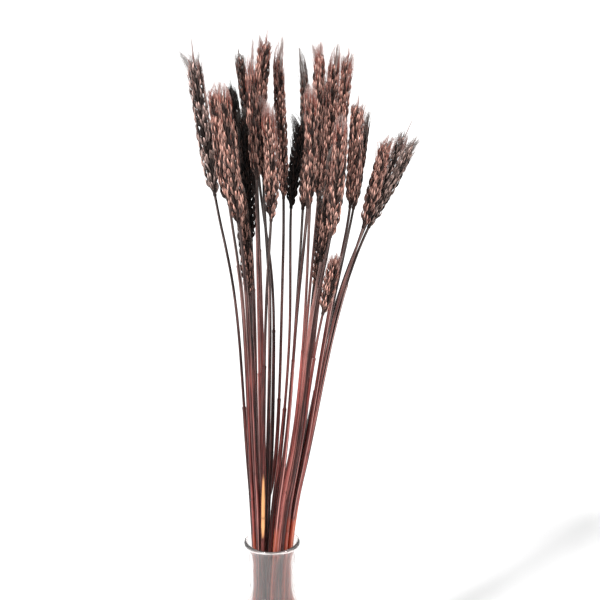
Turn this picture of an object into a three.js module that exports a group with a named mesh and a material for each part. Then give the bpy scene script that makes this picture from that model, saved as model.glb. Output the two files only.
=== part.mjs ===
// A bunch of dried, dyed wheat ears on long straws, standing in a clear glass bottle vase.
// Millimetres. +Z is up, and the origin is the centre of the vase's flat bottom.
import * as THREE from "three";

// Vase
const VASE_HEIGHT = 200;
const BASE_THICKNESS = 10;
const FOOT_R = 38; // flat that it stands on
const BODY_R = 43.5;
const WALL = 2.9;
const NECK_R = 20.3;
const NECK_INNER_R = 18;
const NECK_TOP_Z = 190;
const NECK_BOTTOM_Z = 155;
const SHOULDER_Z = 95;
const LIP_R = 25;
const VASE_SIDES = 32;

// Straws
const STEM_CUT_Z = BASE_THICKNESS + 0.3; // stands just clear of the vase's inside floor
const STEM_SIDES = 6;
const STEM_RADII = [
  // height, radius: the sheathed lower straw is thicker than the bare neck under the ear
  [10, 1.85],
  [200, 1.8],
  [300, 1.6],
  [400, 1.3],
  [520, 1.15],
];
const EAR_GAP = 0.3; // between a straw's tip and its ear

// Ears
const EAR_SIDES = 8;
const EAR_FLATNESS = 0.8; // thickness over width
const AWN_SHARE = 0.07; // pointed tip above the last spikelets, as a share of the ear's length
const EAR_PROFILE = [
  // share of the length, share of the half width
  [0, 0.3],
  [0.05, 0.6],
  [0.12, 0.88],
  [0.21, 0.95],
  [0.3, 1.0],
  [0.4, 0.97],
  [0.5, 0.98],
  [0.6, 0.92],
  [0.7, 0.86],
  [0.8, 0.76],
  [0.9, 0.6],
  [1.0, 0.36],
];
const RIPPLE = 0.05; // spikelets stand out left and right in turn

// Heights at which every stalk's axis is given.
const LEVELS = [10.3, 40, 70, 100, 130, 155, 178, 200, 222, 246, 272, 300, 328, 356, 384, 412, 440, 466, 492, 518, 544, 570, 596, 622, 650];

// One row a stalk: number, tone, ear's foot z, ear's top z, ear's half width, then x, y of the axis at each level.
const STALKS = [
  ["01", "grey", 511.8, 616.6, 6.44, [-19.4,10.3,-18.8,8.8,-18.2,7.3,-17.5,5.8,-16.5,4.4,-15.3,3.1,-15.6,2.5,-16.6,2.1,-17.6,1.8,-18.7,1.7,-20.4,1.6,-22,1.5,-23.4,1.4,-24.8,1.3,-26.4,1.3,-28.6,1.1,-31.9,0.9,-36.3,0.6,-41.3,0.1,-45.6,-0.7,-49.3,-1.8,-52.6,-3.3,-55.9,-5,-59.1,-6.9,-62.6,-8.9]],
  ["02", "light", 507.6, 593.5, 6.63, [-23.2,-1.9,-21.7,-2.9,-20.2,-3.8,-18.6,-4.7,-16.6,-5.5,-14.4,-6,-14.3,-6.6,-15.2,-7.5,-15.8,-8.2,-16.6,-8.8,-17.5,-9.4,-18.4,-10.1,-19.1,-10.9,-19.8,-11.7,-20.7,-12.6,-21.9,-13.6,-23.8,-14.8,-26.7,-16,-30,-17.6,-33.1,-19.4,-35.9,-21.7,-38.5,-24.2,-41.1,-26.9,-43.8,-29.6]],
  ["03", "light", 492.1, 593.6, 6.63, [-21,-11.2,-19.3,-11.3,-17.5,-11.3,-15.7,-11.2,-13.8,-10.8,-11.8,-10.2,-11.3,-11,-11.6,-12.6,-11.9,-13.9,-12.5,-15.2,-13.5,-16.6,-14.5,-18.2,-15.3,-19.8,-16,-21.6,-16.8,-23.6,-17.7,-25.8,-19,-28.2,-20.7,-30.5,-23,-33.1,-25.8,-35.8,-28.6,-38.6,-30.9,-41.5,-32.9,-44.4,-35,-47.4]],
  ["04", "dark", 430.7, 516.2, 5.07, [-16.5,-0.1,-15.7,-0.7,-14.9,-1.3,-14.1,-1.8,-13.3,-2.1,-12.7,-2.3,-12.3,-3.1,-12.1,-4,-12.1,-4.9,-12.2,-5.6,-12.7,-6.4,-13.3,-7.3,-13.9,-8.2,-14.5,-9.1,-15.3,-10.1,-16.2,-11,-17.6,-11.8,-19.4,-12.6,-21.4,-13.2,-23.4,-13.9,-25.4,-14.6]],
  ["05", "black", 504.3, 594.0, 5.07, [-13.2,16.9,-13.3,15.3,-13.4,13.7,-13.4,12,-13.2,10.4,-12.8,8.9,-13.3,8.4,-14.2,8.5,-15.1,8.6,-16,8.9,-16.9,9.4,-17.1,10,-17.1,10.7,-17,11.5,-16.9,12.4,-16.9,13.4,-17.3,14.5,-18.2,15.6,-19.6,17,-21.8,18.6,-24.9,20.5,-28.3,22.5,-31.8,24.7,-35.2,27]],
  ["06", "black", 472.8, 573.2, 5.07, [-10.7,8,-10.6,7.1,-10.5,6.2,-10.4,5.4,-10.3,4.6,-10.3,4,-10.4,3.5,-10.5,3.2,-10.8,3,-11.3,2.9,-12.2,2.9,-12.7,3,-13,3.1,-13.2,3.3,-13.4,3.5,-13.8,3.7,-14.3,4,-15.2,4.3,-16.5,4.7,-18.1,5.1,-19.6,5.5,-20.9,6,-22.3,6.5]],
  ["07", "dark", 508.2, 618.5, 4.29, [-6,22.4,-6,20.9,-6,19.4,-6,17.8,-6,16.1,-6,14.4,-6.6,14.3,-7.7,15.1,-8.4,15.8,-9.1,16.8,-9.6,17.9,-9.9,19.2,-10.3,20.7,-10.6,22.3,-10.9,24,-11.2,25.8,-11.5,27.8,-11.8,29.7,-12.3,31.8,-13.3,34,-15.7,36.4,-18.8,39,-22.3,41.9,-26.1,45,-30.2,48.3]],
  ["08", "light", 527.4, 608.2, 5.85, [-11.1,-0.2,-10.5,-0.8,-10,-1.4,-9.5,-2,-8.9,-2.5,-8.5,-3,-8.1,-3.3,-7.8,-3.6,-7.3,-3.8,-6.9,-4,-6.5,-4.3,-6.4,-4.7,-6.5,-5,-6.7,-5.5,-7,-6,-7.4,-6.6,-7.8,-7.4,-8.3,-8.2,-8.8,-9.3,-9.5,-10.7,-10.4,-12.6,-11.5,-14.9,-12.6,-17.5,-13.8,-20.3]],
  ["09", "mid", 547.9, 629.4, 5.85, [-4.1,7,-4.2,7,-4.4,7,-4.4,7,-4.5,6.9,-4.4,6.6,-4.4,6.5,-4.2,6.8,-3.5,7,-2.2,7.4,-0.5,7.8,0.7,8.2,1.5,8.7,2.1,9.3,2.5,9.9,2.4,10.6,1.1,11.3,-1.7,12,-5.3,12.7,-8.4,13.6,-10,14.5,-9.4,15.5,-7.3,16.6,-4.2,17.8,-0.4,19.1]],
  ["10", "mid", 504.9, 616.8, 5.07, [-6,14.2,-6,13.5,-6,12.7,-6,11.9,-6,11.1,-6,10.3,-6,10.3,-6,10.7,-6,11.1,-0.6,11.7,3.1,12.4,5.3,13.3,6.7,14.3,7.8,15.4,8.6,16.6,9.4,18,10.2,19.4,10.9,20.8,11.2,22.4,11,24.2,10,26.2,8.9,28.2,7.8,30.4,6.7,32.6,5.6,35]],
  ["11", "light", 496.9, 578.3, 5.46, [-16.5,-13,-14.9,-13.1,-13.4,-13.1,-11.8,-13.1,-10.3,-13.1,-8.8,-12.9,-8.1,-13.5,-7.7,-14.2,-7.3,-14.8,-6.9,-15.6,-6.5,-16.5,-6.1,-17.6,-5.6,-18.8,-5,-20.3,-4.2,-21.9,-3.2,-23.8,-1.9,-25.9,-0.1,-28.2,1.7,-30.9,2.9,-34.1,3,-37.9,1.4,-41.9,-1.1,-46.2]],
  ["12", "light", 524.0, 580.8, 3.90, [-7.4,2.1,-7.1,1.7,-6.8,1.3,-6.6,0.9,-6.3,0.6,-6.1,0.3,-5.8,-0,-5.5,-0.2,-5.1,-0.5,-4.4,-0.7,-3.5,-0.9,-2.6,-1,-1.8,-1.2,-1.1,-1.4,-0.6,-1.6,-0.5,-1.9,-0.9,-2.2,-2.2,-2.6,-3.6,-3.1,-4.4,-3.9,-4,-4.9,-4.6,-6.2,-6.4,-7.7]],
  ["13", "black", 504.8, 569.9, 3.90, [-6.6,-7.3,-5.9,-7.3,-5.2,-7.3,-4.4,-7.3,-3.7,-7.4,-3,-7.4,-2.2,-7.5,-1.1,-7.6,0.4,-7.8,2.7,-8.1,6.2,-8.5,9.2,-9,11.8,-9.6,14,-10.3,15.7,-11.2,16.7,-12.1,17,-13.3,17.1,-14.6,17.4,-16.2,18.6,-18.2,21.7,-20.7,25.9,-23.6,30.4,-26.8]],
  ["14", "dark", 498.6, 606.1, 3.90, [1.2,6.2,0.9,6,0.6,5.8,0.3,5.6,0.2,5.4,0.2,5.3,0.5,5.3,1.3,5.3,2.9,5.3,5.8,5.5,10.3,5.8,13.8,6.1,16.4,6.5,18.4,7,20.2,7.5,22,8.1,23.8,8.7,25.5,9.2,27,9.7,28.3,10.3,29.3,10.8,29.4,11.3,28.7,11.8,27.7,12.3]],
  ["15", "light", 523.3, 622.4, 5.46, [1.8,-6.4,2,-6.1,2.3,-5.7,2.7,-5.4,3.1,-5,3.6,-4.8,4.3,-4.6,5.4,-4.5,7.4,-4.5,10.6,-4.6,15.6,-4.8,19.7,-5,22.8,-5.3,25.4,-5.6,27.5,-6,29.2,-6.5,30.6,-7,31.6,-7.6,32.6,-8.3,33.9,-9.1,35.7,-10.2,37.7,-11.4,39.3,-12.8,40.5,-14.2,41.9,-15.8]],
  ["16", "light", 508.6, 592.3, 5.46, [-6.3,-22,-4.9,-20.9,-3.5,-19.8,-2,-18.5,-0.6,-17.1,0.5,-15.6,1.7,-15.7,3.1,-16.7,4.8,-17.6,7.1,-18.5,10.2,-19.6,13.2,-20.9,15.7,-22.3,17.8,-23.9,19.9,-25.6,22,-27.6,24.5,-29.7,27.1,-31.9,29.6,-34.4,31.8,-37.2,33.4,-40.3,33.4,-43.7,32.4,-47.3,31.3,-50.9]],
  ["17", "mid", 508.3, 613.6, 5.07, [10.2,3.4,9.6,3.8,9,4.1,8.5,4.5,8.1,4.8,8,5.1,8.3,5.4,9.3,5.6,11.4,5.9,15.2,6.3,21.1,6.7,25.3,7.2,28.1,7.7,30.4,8.3,32.4,9,34.8,9.7,37.7,10.5,40.8,11.3,43.8,12.3,46.3,13.3,48.2,14.5,50,15.8,51.5,17.2,53,18.6,54.6,20.1]],
  ["18", "mid", 514.8, 616.9, 5.07, [13.1,-10.8,12.9,-9.5,12.8,-8.1,12.6,-6.8,12.3,-5.3,12,-4.2,12.4,-3.6,13.8,-3.4,15.8,-3.5,18.9,-3.6,23.6,-3.8,27.7,-4,30.8,-4.2,33.5,-4.5,36.1,-4.8,39,-5.1,42.7,-5.5,46.9,-5.9,50.9,-6.4,54,-7,56,-7.7,57.9,-8.5,60,-9.4,62.3,-10.3,64.7,-11.4]],
  ["19", "light", 483.1, 568.7, 5.85, [2.2,-20.3,3.1,-19.4,3.9,-18.3,4.8,-17,5.5,-15.7,6.1,-14.3,7.1,-14,8.9,-14.8,11.2,-15.5,14.4,-16.4,19.2,-17.5,23.7,-18.6,27.2,-19.8,30.4,-20.8,33.4,-22.1,36.9,-23.5,41.3,-25.4,46.3,-27.8,50.5,-30.2,53.5,-32.9,55.4,-35.7,56.6,-38.7,57.8,-41.8]],
  ["20", "dark", 460.0, 543.9, 5.07, [2.2,-11.1,2.7,-10.6,3.2,-10,3.8,-9.4,4.4,-9,5,-8.6,5.8,-8.4,7.1,-8.2,9.2,-8.2,12.5,-8.4,17.7,-8.8,22.2,-9.3,25.6,-9.9,28.3,-10.6,31.1,-11.4,34.4,-12.2,38.9,-13.1,43.4,-13.8,46.8,-14.6,49.3,-15.2,51.2,-15.9,53.1,-16.6]],
  ["21", "mid", 503.7, 582.9, 5.85, [16.6,-14.3,16.3,-12.8,16,-11.3,15.5,-10,14.6,-8.9,13.4,-8,13.9,-7.4,16.1,-6.8,18.6,-6.3,21.9,-6,26.9,-5.9,31.8,-5.9,36.2,-6,40.3,-6.2,44.6,-6.5,49.1,-6.9,54.3,-7.4,59.6,-8,64.2,-8.7,67,-9.6,68.7,-10.6,69.7,-11.8,70.4,-13]],
  ["22", "dark", 497.9, 565.1, 4.68, [20.1,1.2,19.1,2.2,17.9,3.2,16.8,4.2,15.6,5.3,14.4,6,14.3,6.7,15.5,7.5,17.5,7.8,20.7,8.2,26.1,8.6,31.6,9.1,36.9,9.7,42,10.4,47.3,11.2,52.7,12.2,58.3,13.2,63.6,14.3,68.7,15.7,73,17.4,76.7,19.4,79.8,21.6,82.7,24]],
  ["23", "mid", 486.3, 552.4, 5.46, [20,-11.9,19.4,-10.1,18.8,-8.3,18,-6.4,16.9,-4.2,15.5,-2,15.7,-1.3,17.4,-1.6,20.2,-2,23.7,-2.3,28.7,-2.5,33.9,-2.8,38.7,-3.2,43.5,-3.5,48.8,-3.8,54.8,-4.2,62.4,-4.7,70.7,-5.3,78.6,-6,85.3,-7.1,91.2,-8.5,96.7,-10]],
  ["24", "greydark", 482.4, 549.5, 4.68, [25.3,-0.9,23.8,-0,22.2,0.8,20.4,1.5,18.2,1.9,15.5,2,15.5,2.8,17.1,3.7,20.5,5,24.7,6.2,30.4,7.3,36,8.4,41.3,9.3,46.6,10.2,52.3,11.1,58.9,11.9,66.7,12.6,75.8,13.1,87.3,13.4,101.3,13.5,113.6,13.4,125.2,13.2]],
  ["25", "grey", 499.3, 552.8, 3.90, [21.6,13.1,19.7,13,17.8,12.7,15.9,12.3,13.7,11.6,11.6,10.5,11.3,11,12.5,12.3,15.3,14.3,19.5,16.1,25.8,17.9,31.9,19.8,37.4,21.7,43,23.7,49.1,25.8,56.4,27.9,65.5,30.1,75.7,32.3,86.7,34.7,97.6,37.3,108.8,40.1,120.2,43.1]],
  ["26", "mid", 417.8, 463.1, 5.07, [6.4,-21.2,7.2,-19.3,8,-17.5,8.7,-15.7,9.3,-13.9,9.6,-12.3,10.5,-11.7,12.1,-12.2,14.1,-12.7,16.9,-13.3,21.2,-14.3,25.8,-15.6,29.8,-17.3,33.5,-19.5,37.6,-21.7,42.6,-24,48.7,-26,53.6,-27.6,58.4,-29.3]],
  ["27", "dark", 428.3, 506.4, 4.68, [12.1,-2.7,11.7,-2,11.3,-1.3,11,-0.6,10.8,0,10.8,0.5,11.1,0.9,11.9,1.3,13.7,1.6,16.9,1.8,22,2,26.3,2.2,29.6,2.4,32.3,2.6,34.8,2.8,37.1,3,39.4,3.3,41.3,3.6,43,3.9,44.6,4.2]],
  ["28", "mid", 501.0, 597.1, 5.46, [12.4,19.5,10.9,18.8,9.4,17.9,8,17,6.8,15.8,6,14.4,6,14.6,6.2,16.1,7.8,17.3,11,18.6,16.2,20,20.6,21.5,24.1,23.1,27.1,24.8,29.9,26.6,32.5,28.6,35,30.6,37.3,32.7,39.6,34.9,42,37.5,44.4,40.3,46.2,43.2,47.6,46.3,48.9,49.5]],
];

const TONES = {
  light: 0x7e5a52,
  mid: 0x6a4c45,
  dark: 0x3f2f29,
  black: 0x261a16,
  grey: 0x625350,
  greydark: 0x4a3c39,
};

const group = new THREE.Group();
group.name = "wheat_ears_in_vase";

function lerpTable(table, x) {
  if (x <= table[0][0]) return table[0][1];
  for (let i = 1; i < table.length; i++)
    if (x <= table[i][0]) {
      const [x0, y0] = table[i - 1],
        [x1, y1] = table[i];
      return y0 + ((y1 - y0) * (x - x0)) / (x1 - x0);
    }
  return table[table.length - 1][1];
}

function axisAt(points, z) {
  let i = 0;
  const n = points.length / 2;
  while (i < n - 2 && z > LEVELS[i + 1]) i++;
  const t = (z - LEVELS[i]) / (LEVELS[i + 1] - LEVELS[i]);
  return new THREE.Vector3(
    points[2 * i] * (1 - t) + points[2 * i + 2] * t,
    points[2 * i + 1] * (1 - t) + points[2 * i + 3] * t,
    z,
  );
}

// A closed skin over rings of equal length, with a flat lower end and a point or a flat at the top.
function skin(rings, tip) {
  const n = rings[0].length,
    pos = [],
    idx = [];
  const mid = (r) =>
    r
      .reduce((a, p) => a.add(p), new THREE.Vector3())
      .multiplyScalar(1 / r.length);
  for (const r of rings) for (const p of r) pos.push(p.x, p.y, p.z);
  const foot = mid(rings[0]),
    head = tip || mid(rings[rings.length - 1]);
  const iFoot = pos.length / 3;
  pos.push(foot.x, foot.y, foot.z, head.x, head.y, head.z);
  for (let k = 0; k + 1 < rings.length; k++)
    for (let j = 0; j < n; j++) {
      const a = k * n + j,
        b = k * n + ((j + 1) % n),
        c = a + n,
        d = b + n;
      idx.push(a, b, d, a, d, c);
    }
  const last = (rings.length - 1) * n;
  for (let j = 0; j < n; j++) {
    const k = (j + 1) % n;
    idx.push(iFoot, k, j, iFoot + 1, last + j, last + k);
  }
  const g = new THREE.BufferGeometry();
  g.setAttribute("position", new THREE.Float32BufferAttribute(pos, 3));
  g.setIndex(idx);
  g.computeVertexNormals();
  return g;
}

function add(name, geometry, material) {
  const m = new THREE.Mesh(geometry, material);
  m.name = name;
  group.add(m);
}

// Straw: level rings down the axis.
function stem(row) {
  const [id, , foot, , , points] = row;
  const zs = LEVELS.filter((z) => z < foot - 8);
  zs.push(foot - EAR_GAP);
  const rings = zs.map((z) => {
    const c = axisAt(points, z),
      r = lerpTable(STEM_RADII, z);
    return Array.from({ length: STEM_SIDES }, (_, j) => {
      const a = (2 * Math.PI * j) / STEM_SIDES;
      return new THREE.Vector3(
        c.x + r * Math.cos(a),
        c.y + r * Math.sin(a),
        z,
      );
    });
  });
  add(
    "stem_" + id,
    skin(rings),
    new THREE.MeshStandardMaterial({ color: 0x5b322e, roughness: 0.5 }),
  );
}

// Ear: rings square to its own axis, wider than thick, with a short pointed tip.
function ear(row, index) {
  const [id, tone, foot, top, half, points] = row;
  const turn = (index * 2.39996) % Math.PI;
  const rings = EAR_PROFILE.map(([u, w], k) => {
    const z = foot + u * (top - foot);
    const c = axisAt(points, z);
    const up = axisAt(points, Math.min(z + 12, top))
      .sub(axisAt(points, z - 12))
      .normalize();
    const side = new THREE.Vector3(Math.cos(turn), Math.sin(turn), 0);
    side.addScaledVector(up, -side.dot(up)).normalize();
    const face = new THREE.Vector3().crossVectors(up, side);
    const lift = u === 0 ? 0 : 1; // the foot ring stays level, square to the straw's flat tip
    return Array.from({ length: EAR_SIDES }, (_, j) => {
      const a = (2 * Math.PI * j) / EAR_SIDES;
      const sway = 1 + RIPPLE * (k % 2 ? 1 : -1) * Math.cos(a);
      const r = half * w * (u === 0 ? 1 : sway);
      const v = new THREE.Vector3()
        .addScaledVector(side, r * Math.cos(a))
        .addScaledVector(face, r * EAR_FLATNESS * Math.sin(a));
      if (!lift) v.z = 0;
      return v.add(c);
    });
  });
  const tip = axisAt(points, top + AWN_SHARE * (top - foot));
  add(
    "ear_" + id,
    skin(rings, tip),
    new THREE.MeshStandardMaterial({ color: TONES[tone], roughness: 0.85 }),
  );
}

// Vase: one closed profile, out along the bottom, up the outside, over the lip and down the inside.
function vase() {
  const t = WALL;
  const p = [
    [0, 0],
    [FOOT_R, 0],
    [BODY_R - 2, 1.6],
    [BODY_R - 0.4, 5],
    [BODY_R, 12],
    [BODY_R, SHOULDER_Z - 5],
    [BODY_R - 1.2, SHOULDER_Z + 3],
    [BODY_R - 4.5, SHOULDER_Z + 12],
    [BODY_R - 10, SHOULDER_Z + 23],
    [BODY_R - 16, SHOULDER_Z + 34],
    [NECK_R + 3, NECK_BOTTOM_Z - 15],
    [NECK_R + 0.9, NECK_BOTTOM_Z - 6],
    [NECK_R, NECK_BOTTOM_Z + 3],
    [NECK_R, NECK_TOP_Z - 18],
    [NECK_R + 0.5, NECK_TOP_Z - 8],
    [NECK_R + 1.2, NECK_TOP_Z],
    [NECK_R + 2.3, NECK_TOP_Z + 4],
    [LIP_R - 0.6, VASE_HEIGHT - 4],
    [LIP_R, VASE_HEIGHT - 2.2],
    [LIP_R - 0.8, VASE_HEIGHT - 0.5],
    [LIP_R - 2, VASE_HEIGHT],
    [LIP_R - 3, VASE_HEIGHT - 0.5],
    [NECK_INNER_R + 3, VASE_HEIGHT - 3],
    [NECK_INNER_R + 1.3, NECK_TOP_Z],
    [NECK_INNER_R + 0.5, NECK_TOP_Z - 8],
    [NECK_INNER_R, NECK_TOP_Z - 16],
    [NECK_INNER_R, NECK_BOTTOM_Z + 2],
    [NECK_INNER_R + 1.2, NECK_BOTTOM_Z - 8],
    [NECK_INNER_R + 4.2, NECK_BOTTOM_Z - 17],
    [BODY_R - 18.5, SHOULDER_Z + 32],
    [BODY_R - 12.6, SHOULDER_Z + 21],
    [BODY_R - 7.2, SHOULDER_Z + 10],
    [BODY_R - 4.1, SHOULDER_Z + 1],
    [BODY_R - t, SHOULDER_Z - 7],
    [BODY_R - t, BASE_THICKNESS + 8],
    [BODY_R - t - 2.6, BASE_THICKNESS + 2.2],
    [BODY_R - t - 8, BASE_THICKNESS],
    [0, BASE_THICKNESS],
  ].map(([r, z]) => new THREE.Vector2(r, z));
  const g = new THREE.LatheGeometry(p, VASE_SIDES);
  g.rotateX(Math.PI / 2);
  add(
    "vase",
    g,
    new THREE.MeshStandardMaterial({
      color: 0xeef3f3,
      transparent: true,
      opacity: 0.35,
      roughness: 0.05,
    }),
  );
}

vase();
STALKS.forEach((row, i) => {
  stem(row);
  ear(row, i);
});

export default group;
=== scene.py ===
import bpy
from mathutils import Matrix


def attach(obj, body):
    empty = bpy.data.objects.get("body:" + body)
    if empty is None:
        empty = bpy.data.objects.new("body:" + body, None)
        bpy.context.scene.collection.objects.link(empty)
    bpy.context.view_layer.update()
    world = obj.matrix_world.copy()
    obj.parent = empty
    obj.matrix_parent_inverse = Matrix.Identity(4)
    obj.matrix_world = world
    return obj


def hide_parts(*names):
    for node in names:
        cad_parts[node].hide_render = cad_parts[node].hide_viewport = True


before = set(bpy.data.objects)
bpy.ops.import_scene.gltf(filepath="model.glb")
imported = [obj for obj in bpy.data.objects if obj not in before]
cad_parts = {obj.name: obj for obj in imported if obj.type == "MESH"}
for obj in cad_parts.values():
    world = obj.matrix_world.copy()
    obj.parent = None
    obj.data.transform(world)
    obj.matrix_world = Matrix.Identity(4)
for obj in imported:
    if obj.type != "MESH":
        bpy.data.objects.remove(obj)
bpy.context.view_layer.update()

import math

import bpy
import numpy as np
from mathutils import Vector

# ---------------------------------------------------------------- camera
cam_data = bpy.data.cameras.new("camera")
cam_data.sensor_width = 36.0
cam_data.lens = 66.0
cam = bpy.data.objects.new("camera", cam_data)
cam.location = (0.025, -0.890, 0.669)
cam.rotation_euler = (math.radians(90 - 15.5), 0, 0)
bpy.context.scene.collection.objects.link(cam)
bpy.context.scene.camera = cam

# ---------------------------------------------------------------- the stalks (millimetres, the frame's own axes)
LEVELS = np.array([10.3, 40, 70, 100, 130, 155, 178, 200, 222, 246, 272, 300, 328, 356, 384, 412, 440, 466, 492, 518, 544, 570, 596, 622, 650])
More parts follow.
